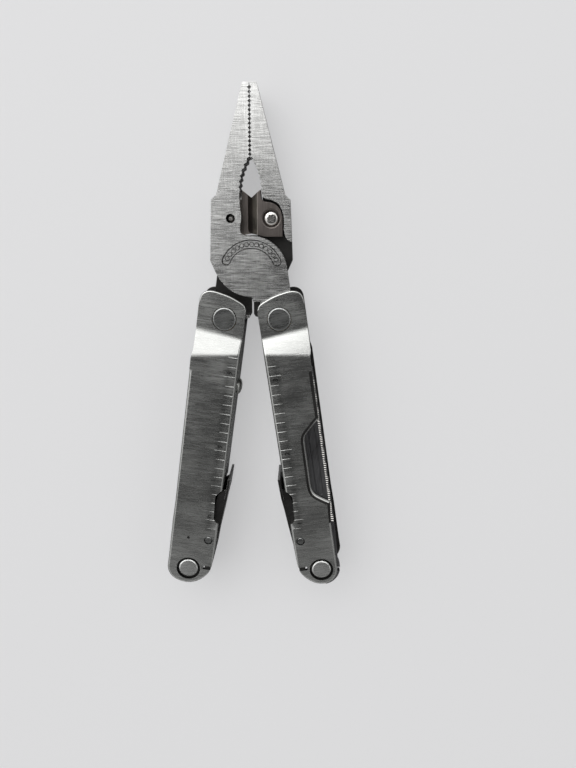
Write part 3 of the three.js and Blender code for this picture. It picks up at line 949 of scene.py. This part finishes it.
def lever_pin(side):
    end = MAIN_HALF - 0.03
    half = [(1.25, end - 0.2), (1.05, end), (0.6, end + 0.02)]
    body = turned([(r, -z) for r, z in reversed(half)] + half, *LEVER_PIN.xy, 32)
    name = side + "_lever_pin"
    place(body, name + "_turned", side, side + "_handle", STEEL["pliers_pin"], "pin_steel", name)


def pliers_rivet():
    body = turned([(2.9, -4), (3.2, -3.7), (3.2, 3.7), (2.9, 4)], 0, PLIERS_Y)
    steel = STEEL["tool_pin"]
    place(body, "pliers_rivet_turned", "front", "front_jaw", steel, "pin_steel", "pliers_rivet")


def stop_stud():
    dome = [(2.6, 0.15), (2.72, 0.35), (2.45, 0.85), (1.7, 1.28), (0.8, 1.47), (0.2, 1.5)]
    body = turned([(1.3, -1), (1.3, 0.15)] + dome)
    body.data.transform(Matrix.Translation((WEB_OUT, STUD_Y, 0)) @ Matrix.Rotation(math.pi / 2, 4, "Y"))
    steel = STEEL["tool_pin"]
    place(body, "stop_stud_turned", "left", "left_handle", steel, "pin_steel", "left_stop_stud")


def cutter_screw(which, body_name):
    profile = [(0.55, -4), (0.9, -3.75), (0.95, -3.2), (1.1, -3.1), (1.1, 2.95), (2.2, 2.95)]
    profile += [(2.3, 3.05), (2.3, 3.6), (2.22, 3.85), (2, 4.1), (1.7, 4.3), (1.42, 4.4), (0.5, 4.4)]
    body = turned(profile, *CUTTER_SCREW)
    star = []
    for i in range(72):
        angle = 2 * math.pi * i / 72
        reach = 1.02 + 0.17 * math.cos(6 * angle)
        x = CUTTER_SCREW[0] + reach * math.cos(angle)
        star.append((x, CUTTER_SCREW[1] + reach * math.sin(angle)))
    # The socket's walls are painted near-black, as shade.
    socket = darken(prism(star, 3.75, 5), lambda at, normal: abs(normal.z) < 0.5)
    cut(body, socket)
    name = "cutter_screw_" + which
    place(body, name + "_socket_head", which, body_name, STEEL["screw"], "screw_steel", name)


def cutter_insert(which, body_name):
    """The shearing insert: a flat plate with a bevelled edge, a notched top and a counterbore."""
    body = prism(
        [(-1.2, 27.3), (-0.6, 26.4), (2.4, 25.9), (4, 25.4), (9.8, 25.4), (9.8, 31.2)]
        + arc(5.2, 31.2, 4.5, 6, 88, 12)
        + [(4.2, 35.9), (3.3, 36.6), (3, 39.4), (0.1, 37.1), (-1.2, 38.1)],
        0.1,
        4.5,
    )
    slope = ((-4, 0.35), (-1.2, 0.35), (0.4, 2.5), (2, 4.5), (2, 6), (-4, 6))
    bevel = skin([[(x, y, z) for x, z in slope] for y in (20, 45)])
    counterbore = [(1.35, -1), (1.35, 2.8), (2.6, 2.8), (2.6, 4.2), (3, 4.6), (3, 6)]
    cut(body, bevel, turned(counterbore, *CUTTER_SCREW))
    soften(body, 0.12, 2, 25)
    darken(body, lambda at, normal: normal.x < -0.4 and normal.z > 0.3 and 0.3 < at.x < 2.2)
    name = "cutter_insert_" + which
    second = STEEL["ground"]
    place(body, name + "_ground", which, body_name, STEEL["oxide"], "insert_steel", name, second=second)


pliers_rivet()
stop_stud()
for end_name, carrier in (("front", "rear_jaw"), ("rear", "front_jaw")):
    cutter_insert(end_name, carrier)
    cutter_screw(end_name, carrier)
for side_name in ("left", "right"):
    top = NECK_HALF + 0.13
    headed_pin(side_name, "pliers_pin", (0, 0), PLIERS_PIN_R, PLIERS_HEAD_R, 5.6, top, 0.16)
    head_low = MAIN_HALF - RECESS_DEPTH + 0.05
    top = MAIN_HALF - 0.07
    headed_pin(side_name, "tool_pin", TOOL_PIN.xy, TOOL_PIN_R, TOOL_HEAD_R, head_low, top, 0.22)
    lever_pin(side_name)
    name = side_name + "_pivot_washer_"
    washer(side_name, name + "a", PIVOT_WASHER, WASHER_LOW, WASHER_HIGH, (0, 0))
    washer(side_name, name + "b", PIVOT_WASHER, -WASHER_HIGH, -WASHER_LOW, (0, 0))


# ------------------------ Lock levers and springs
EAR = 0.95  # thickness of a lever's side


def lock_lever(side):
    half = 7.1
    outer = [(8.45, -53.8), (8.35, -57.5), (8.25, -60.6), (8.05, -62.4), (7.75, -65), (7.25, -71)]
    outer += [(6.6, -77.5), (5.95, -83.6), (5.9, -87.4)]
    inner = [(3.6, -87.4), (3.6, -86.5), (5.15, -86.5), (5.15, -83.6), (6.4, -71), (7.35, -61.4)]
    inner += [(7.6, -58.5), (7.7, -53.8)]
    body = prism(outer + inner, -half, half)
    ear = smooth([(7.9, -57.2), (6.4, -58.4), (5.1, -60), (4.7, -62.5), (4.4, -66), (4, -70)], 3)
    ear += [(3, -74.5)] + arc(*LEVER_PIN.xy, 2.1, 160, 250, 6) + [(5.6, -81.6), (6.9, -71)]
    ears = [prism(ear, low, low + EAR) for low in (-6.95, 6.0)]
    join(body, *ears)
    join(body, box(3.6, 5.7, -87.4, -86.5, 0.2 - MAIN_HALF, MAIN_HALF - 0.2))
    cut(body, rod(LEVER_BORE_R, -MAIN_HALF, MAIN_HALF, *LEVER_PIN.xy, 32))
    grips = []
    for i in range(5):
        y = -55.2 - i * 1.1
        grips.append(prism([(8.2, y), (8.9, y + 0.45), (8.9, y - 0.45)], -half + 1.2, half - 1.2))
    cut(body, *grips)
    soften(body, 0.12, 2, 35)
    # Painted shade: the ears and the faces set back behind the pad are painted near-black.
    darken(body, lambda at, normal: at.x < 7.2 and (abs(normal.z) > 0.9 or abs(at.z) < half - 0.12))
    name = side + "_lock_lever"
    place(body, name + "_bent", side, name, STEEL["lever"], "lever_steel", name)


def lever_spring(side):
    leaf = [(4.5, -26), (5.1, -26), (5.1, -58), (5.45, -62), (5.9, -69.5), (5.3, -69.5)]
    body = prism(leaf + [(4.85, -62), (4.5, -58)], -5, 5)
    outline = arc(0, -34, 0.9, 0, 180, 8) + arc(0, -58, 0.9, 180, 360, 8)
    cut(body, skin([[(x, y, z) for z, y in outline] for x in (3, 7)]))
    soften(body, 0.08, 1, 35)
    name = side + "_lever_spring"
    place(body, name + "_leaf", side, side + "_handle", STEEL["spring"], "spring_steel", name)


for side_name in ("left", "right"):
    lock_lever(side_name)
    lever_spring(side_name)

# ------------------------ Folded tools
# Outlines in a tool's own frame: zero at the tool pin, X to the web, Y to the tip.
TANG = arc(0, 0, 5, 150, 390, 40)
SHANK = [(3.6, 8), (3.9, 20)]
STACK_TOP = 7.3
STACK_GAP = 0.1
WASHER = 0.3


def ground_plate(full, ground, low, high, edge=0.08):
    """A plate whose outline shrinks from full at mid-thickness to ground on both faces."""
    mid = (low + high) / 2
    levels = [(ground, low), (full, mid - edge), (full, mid + edge), (ground, high)]
    return skin([[(x, y, z) for x, y in ring] for ring, z in levels])


def bend_back(points, depth, pitch, limit):
    """Scallops along an edge that runs up its +X side, as far as limit."""
    bent = []
    for x, y in points:
        wave = abs(math.sin(math.pi * (y - points[0][1]) / pitch))
        bent.append((x - depth * wave if y < limit else x, y))
    return bent


def nick(x, y0, y1, width, face, outward):
    """A long nail groove beside the back of a tool."""
    half = width / 2
    outline = arc(x, y1, half, 0, 180, 10) + arc(x, y0, half, 180, 360, 10)
    wide = [(x + (px - x) * 1.35, py) for px, py in outline]
    z = [face - outward * 0.45, face + outward * 0.05, face + outward]
    rings = [outline, wide, wide]
    return skin([[(px, py, level) for px, py in ring] for ring, level in zip(rings, z)])


def file_rows(x0, x1, y0, y1, pitch, face, outward, depth=0.22, half=0.19):
    """Slanted grooves of a file face, as one cutter."""
    lift = 0.2
    spread = half * (1 + lift / depth)
    bm = bmesh.new()
    count = int((y1 - y0) / pitch)
    floor = face - outward * depth
    top = face + outward * lift
    for i in range(count):
        rings = []
        for x, rise in ((x0, 0), (x1, (x1 - x0) * 0.35)):
            y = y0 + pitch * i + rise
            rings.append([(x, y, floor), (x, y + spread, top), (x, y - spread, top)])
        row = skin(rings)
        bm.from_mesh(row.data)
        remove(row)
    return new_object(bm)


HOLLOW = [*SHANK, (4, 24.6), (3.4, 25.6)]
EDGED = [*SHANK, (4, 24.6), (5.1, 25.6)]
BACK_NICK = (-4.4, 38, 56, 1.2)


def knife_blade(low, high):
    back = smooth([(-2.55, 73.1), (-4.7, 64), (-6.1, 52), (-6.5, 34), (-6.5, 12)], 5)
    edge = smooth([(5.1, 26.5), (5.1, 40), (5, 50), (4.3, 58), (1.8, 66), (-2.2, 73.6)], 7)
    inner = smooth([(1.2, 27.5), (1.2, 40), (1, 50), (0.4, 57), (-1.2, 63.5), (-2.5, 72.9)], 7)
    body = ground_plate(TANG + EDGED + edge + back, TANG + HOLLOW + inner + back, low, high)
    return cut(body, nick(*BACK_NICK, low, -1))


def serrated_knife(low, high):
    back = smooth([(-2.2, 73.1), (-4.6, 71.2), (-6.2, 64), (-6.5, 50), (-6.5, 12)], 5)
    edge = smooth([(5.1, 26.5), (5.1, 45), (5.1, 60), (2.6, 68), (-1.8, 73.3)], 30)
    edge = bend_back(edge, 0.7, 3.4, 62)
    inner = smooth([(1.4, 27.5), (1.4, 45), (1.2, 58), (-0.6, 66), (-2.1, 72.8)], 30)
    body = ground_plate(TANG + EDGED + edge + back, TANG + HOLLOW + inner + back, low, high)
    return cut(body, nick(*BACK_NICK, high, 1))


def saw(low, high):
    row = teeth((5.0, 27), (4.7, 70), 18, 1.5, 0.1)
    back = [(1, 73.2), (-5.4, 73.2), (-6.5, 70), (-6.5, 12)]
    body = prism(TANG + SHANK + [(4.2, 25)] + row + back, low, high)
    return cut(body, nick(*BACK_NICK, high, 1))


def metal_file(low, high):
    row = teeth((-6.5, 71), (-6.5, 16), 82, 0.34, 0.12)
    heel = arc(0, 0, 6.5, 160, 184, 8) + [(-5.3, -0.45), (-5.3, -1.85)] + arc(0, 0, 6.5, 197, 262, 16)
    tang = heel + arc(0, 0, 5, 272, 390, 24)
    outline = tang + SHANK + [(5.1, 26), (5.1, 71.4), (3.6, 73.2), (-5.4, 73.2)] + row + [(-6.5, 12)]
    body = prism(outline, low, high)
    return cut(
        body,
        nick(-3.2, 28, 51.5, 1.9, low, -1),
        # The grooves along the toothed edge take the file's second colour, the bright screw steel: a
        # painted highlight on its teeth.
        dark(file_rows(-7.1, -5.7, 17, 70, 0.78, low, -1, 0.16, 0.2)),
        file_rows(0.2, 6, 28, 68, 0.95, low, -1),
        file_rows(-7, 6, 28, 66, 0.95, high, 1),
    )


def phillips_driver(low, high):
    body = prism(
        TANG
        + smooth([(3.6, 8), (3.9, 20), (4.8, 36), (4.75, 40.4), (4.0, 43.6)], 4)
        + [(3.1, 43.6)]
        + smooth([(2.3, 40.4), (1.7, 37.5), (0.2, 26), (-2.6, 15), (-3.6, 10)], 4),
        low,
        high,
    )
    mid = (low + high) / 2
    slope = ((40.5, 1.75), (44, 0.45), (44, 3), (40.5, 3))
    flutes = []
    for outward in (-1, 1):
        near, far = sorted((mid + outward * 1.35, mid + outward * 3.35))
        flutes += [box(1, 3.05, 37.6, 45, near, far), box(4.05, 6, 37.6, 45, near, far)]
        flutes.append(skin([[(x, y, mid + outward * h) for y, h in slope] for x in (0, 7)]))
    return cut(body, *flutes)


def awl(low, high):
    edge = smooth([(3.9, 20), (4.5, 26), (4.3, 36), (3.7, 44)], 5)
    inner = smooth([(3.2, 20), (2.9, 26), (3.1, 36), (3.55, 43.6)], 5)
    back = smooth([(3.3, 44), (0.4, 32), (-2.6, 21), (-4.2, 12), (-4.6, 8)], 4)
    body = ground_plate(TANG + [(3.6, 8)] + edge + back, TANG + [(3.6, 8)] + inner + back, low, high)
    return cut(body, rod(0.8, low - 1, high + 1, 1.6, 27.5, 24))


def screwdriver(shank, tip, thickness, blade_start, low, high):
    """A flat driver whose end thins to a blade of this thickness."""
    body = prism(TANG + shank, low, high)
    mid = (low + high) / 2
    thin = thickness / 2
    past = tip + 1
    line = [(blade_start, (high - low) / 2), (tip, thin), (past, thin), (past, 4), (blade_start, 4)]
    wedges = []
    for outward in (-1, 1):
        wedges.append(skin([[(x, y, mid + outward * h) for y, h in line] for x in (-8, 8)]))
    return cut(body, *wedges)


def large_screwdriver(low, high):
    shank = SHANK + [(4.7, 21.5), (4.7, 26.4), (-2, 26.4), (-2.4, 22), (-4.3, 14)]
    return screwdriver(shank, 26.4, 0.9, 18, low, high)


def small_screwdriver(low, high):
    shank = SHANK + [(4.9, 34), (4.9, 42.5), (2.3, 42.5), (1.2, 34), (-3.2, 19), (-4.4, 10)]
    return screwdriver(shank, 42.5, 0.7, 36, low, high)


def can_opener(low, high):
    hook = [(0.6, 33.6), (-0.1, 31.8), (1.4, 28.6), (0.2, 25.2), (-2.4, 23.8), (-3.6, 20.4)]
    inner = [(1.5, 32.6), (1.1, 31.4), (2.2, 28.6), (1, 24.6), (-1.6, 23), (-3.2, 20)]
    crown = smooth([(3.9, 20), (4.9, 28), (3.6, 32.5), (1.2, 33.6)], 5)
    foot = TANG + [(3.6, 8)]
    full, ground = [foot + crown + smooth(line + [(-4.6, 10)], 5) for line in (hook, inner)]
    return ground_plate(full, ground, low, high, 0.2)


def lanyard_ring(low, high):
    body = prism(TANG + [(3.4, 6)] + arc(-1.2, 10.5, 4.1, 20, 180, 24), low, high)
    return cut(body, rod(2.5, low - 1, high + 1, -1.2, 10.5, 40))


STACKS = {
    "left": [(saw, 2.2), (phillips_driver, 3.4), (awl, 2.8), (lanyard_ring, 2), (knife_blade, 2.2)],
    "right": [
        (serrated_knife, 2.2),
        (large_screwdriver, 3),
        (small_screwdriver, 2.6),
        (can_opener, 2.6),
        (metal_file, 2.2),
    ],
}
SHARP_TOOLS = (knife_blade, serrated_knife, awl, can_opener)
TOOTHED_TOOLS = (saw, metal_file, serrated_knife)
TANG_BORE_R = 2.35


def folded_tool(side, make, low, high):
    body = make(low, high)
    cut(body, rod(TANG_BORE_R, low - 1, high + 1, sides=48))

    def dull(e):
        at = middle(e)
        toothed = make in TOOTHED_TOOLS and at.y > 14 and (at.x > 3.3 or at.x < -5.9)
        edge = make in SHARP_TOOLS and at.y > 15 and low + 0.3 < at.z < high - 0.3
        file_face = make is metal_file and 26 < at.y < 70 and abs(at.x) < 5.2
        return not (toothed or edge or file_face)

    soften(body, 0.12, 2, 35, dull)
    body.data.transform(Matrix.Translation(TOOL_PIN))
    name = f"{side}_{make.__name__}"
    # The file's second colour is the bright screw steel, painted on its teeth as a highlight.
    if make is metal_file:
        made, steel, second = "_cut", STEEL["file"], STEEL["screw"]
    else:
        made, steel, second = "_ground", STEEL["blade"], None
    place(body, name + made, side, name, steel, "blade_steel", name, second=second)


for side_name, stack in STACKS.items():
    top = STACK_TOP
    for index, (maker, width) in enumerate(stack, 1):
        folded_tool(side_name, maker, top - width, top)
        top -= width + STACK_GAP
        if index < len(stack):
            name = f"{side_name}_tool_washer_{index}"
            washer(side_name, name, TOOL_WASHER, top - WASHER, top, TOOL_PIN.xy)
            top -= WASHER + STACK_GAP


# ------------------------ Stage and light
ROOM_NEAR = 0.6  # the room's brightness below the tool's foot
ROOM_FAR = 1.85  # and past its nose
CARD = 0.06  # brightness of the dark card
GLOW = 0.42  # of the floor, to the eye
WALL = 0.72  # of the wall, to the eye


def make_stage():
    """A pale floor like a light table: it glows to the eye, and the steel sees only its paint."""
    bm = bmesh.new()
    size = 2.0
    corners = ((-size, -size), (size, -size), (size, size), (-size, size))
    bm.faces.new([bm.verts.new((x, y, 0)) for x, y in corners])
    floor = new_object(bm, "floor")
    material = bpy.data.materials.new("floor_paint")
    graph = Graph(material)
    shader = graph.nodes["Principled BSDF"]
    shader.inputs["Base Color"].default_value = (0.3, 0.3, 0.303, 1)
    shader.inputs["Roughness"].default_value = 0.7
    shader.inputs["Emission Color"].default_value = (1, 1, 1.01, 1)
    glow = graph.maths("MULTIPLY", graph.add("LightPath").outputs["Is Camera Ray"], GLOW)
    graph.links.new(glow, shader.inputs["Emission Strength"])
    floor.data.materials.clear()
    floor.data.materials.append(material)


def area_light(name, where, size, power):
    data = bpy.data.lights.new(name, "AREA")
    data.shape = "RECTANGLE"
    data.size, data.size_y = size
    data.energy = power
    light = bpy.data.objects.new(name, data)
    SCENE.collection.objects.link(light)
    light.location = where
    light.rotation_euler = (-Vector(where)).to_track_quat("-Z", "Y").to_euler()


def make_light():
    """A bright soft room, seen as a plain pale wall, with a dark card that the flat faces reflect."""
    world = bpy.data.worlds.new("studio")
    SCENE.world = world
    graph = Graph(world)
    maths = graph.maths
    x, y, z = graph.parts(graph.add("TexCoord").outputs["Generated"])

    def ramp(value, start, end, low, high):
        return graph.ranged(value, low, high, start, end, "SMOOTHSTEP")

    def blend(a, b, share):
        """A where share is 0, and b where it is 1."""
        rest = maths("MULTIPLY", a, maths("SUBTRACT", 1.0, share))
        return maths("ADD", rest, maths("MULTIPLY", share, b))

    up = maths("MAXIMUM", z, 0.05)
    across = maths("DIVIDE", x, up)
    along = maths("DIVIDE", y, up)
    edge = maths("SUBTRACT", along, maths("MULTIPLY", across, 0.95))
    card = ramp(maths("ABSOLUTE", across), 0.5, 0.95, 1, 0)
    card = maths("MULTIPLY", card, ramp(edge, 0.14, 0.27, 1, 0))
    card = maths("MULTIPLY", card, ramp(along, -0.95, -0.5, 0, 1))
    room = maths("MULTIPLY", ramp(y, -0.3, 0.4, ROOM_NEAR, ROOM_FAR), ramp(x, -0.5, 0.8, 1.15, 0.7))
    room = maths("MULTIPLY", room, ramp(z, 0.0, 0.7, 0.35, 1))
    seen = graph.add("LightPath").outputs["Is Camera Ray"]
    background = graph.nodes["Background"]
    background.inputs["Color"].default_value = (1.0, 1.0, 1.0, 1)
    graph.links.new(blend(blend(room, CARD, card), WALL, seen), background.inputs["Strength"])
    area_light("sky_panel", (-0.35, 0.8, 0.75), (1.0, 0.5), 3)


make_stage()
make_light()
